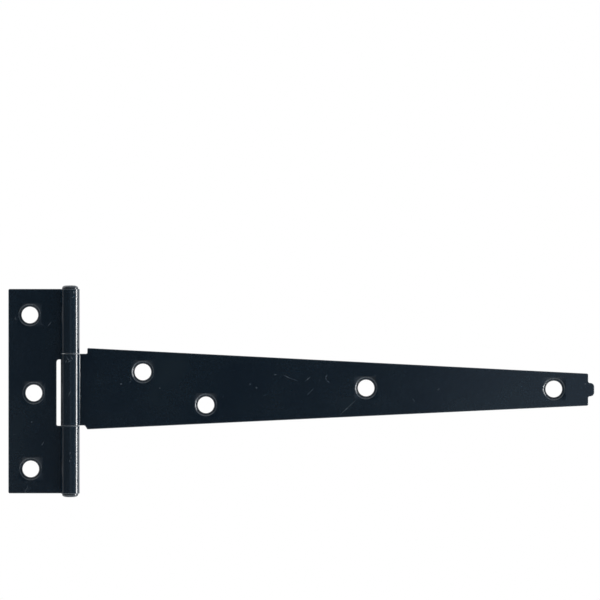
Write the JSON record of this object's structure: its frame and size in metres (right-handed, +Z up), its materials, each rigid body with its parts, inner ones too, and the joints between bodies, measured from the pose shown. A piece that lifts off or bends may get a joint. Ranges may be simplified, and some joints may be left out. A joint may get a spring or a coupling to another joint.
{
  "type": "t hinge",
  "caption": "Tee hinge of pressed sheet steel: an upright screw plate, a long tapered strap and a headed pin through rolled knuckles.",
  "frame": {"origin": "on the mounting plane, at the centre of the fixed plate's flat back face; the pin line is 11.025 mm to +X and 2.75 mm to the front of it", "axes": "+Z up along the pin, +X out along the strap with the hinge laid open, -Y the front (countersunk) side, +Y into the post"},
  "size_m": [0.17, 0.0055, 0.0614],
  "materials": {
    "leaf_enamel": "black stoved enamel over pressed mild steel sheet, satin to semi-gloss with fine specks and handling scratches",
    "pin_enamel": "the same black enamel over the headed steel pin, worn thin on the hammered crowns"
  },
  "bodies": {
    "plate": {"fixed_plate": "leaf_enamel", "hinge_pin": "pin_enamel"},
    "strap": {"strap_leaf": "leaf_enamel"}
  },
  "joints": [
    {"name": "strap_swing", "type": "hinge", "parent": "plate", "child": "strap", "pos_m": [0.01103, -0.00275, 0], "axis": [0, 0, -1], "range_deg": [-80, 180]}
  ]
}
